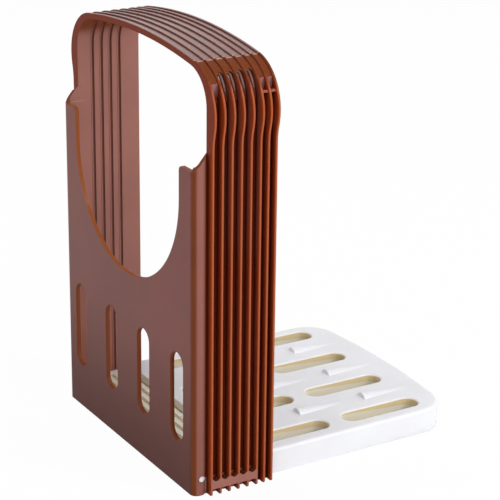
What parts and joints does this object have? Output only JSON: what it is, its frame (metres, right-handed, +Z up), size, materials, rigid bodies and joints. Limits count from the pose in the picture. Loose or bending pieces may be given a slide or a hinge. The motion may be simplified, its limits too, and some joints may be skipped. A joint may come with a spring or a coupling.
{
  "type": "bread slicer guide",
  "caption": "Folding bread slicing guide: a brown comb-walled arch with knife slits on a white slotted base that folds up.",
  "frame": {"origin": "on the table, under the middle of the opened guide", "axes": "+Z up, +Y from the front plate towards the far end of the base, +X across the guide"},
  "size_m": [0.1468, 0.1572, 0.2145],
  "materials": {
    "brown_plastic": "glossy brown moulded plastic, slightly translucent",
    "white_plastic": "white moulded plastic, soft gloss"
  },
  "bodies": {
    "guide": {"slicing_guide": "brown_plastic"},
    "base": {"folding_base": "white_plastic", "hinge_pin_left": "white_plastic", "hinge_pin_right": "white_plastic"}
  },
  "joints": [
    {"name": "base_fold", "type": "hinge", "parent": "guide", "child": "base", "pos_m": [0, -0.0739, 0.00835], "axis": [1, 0, 0], "range_deg": [0, 85]}
  ]
}
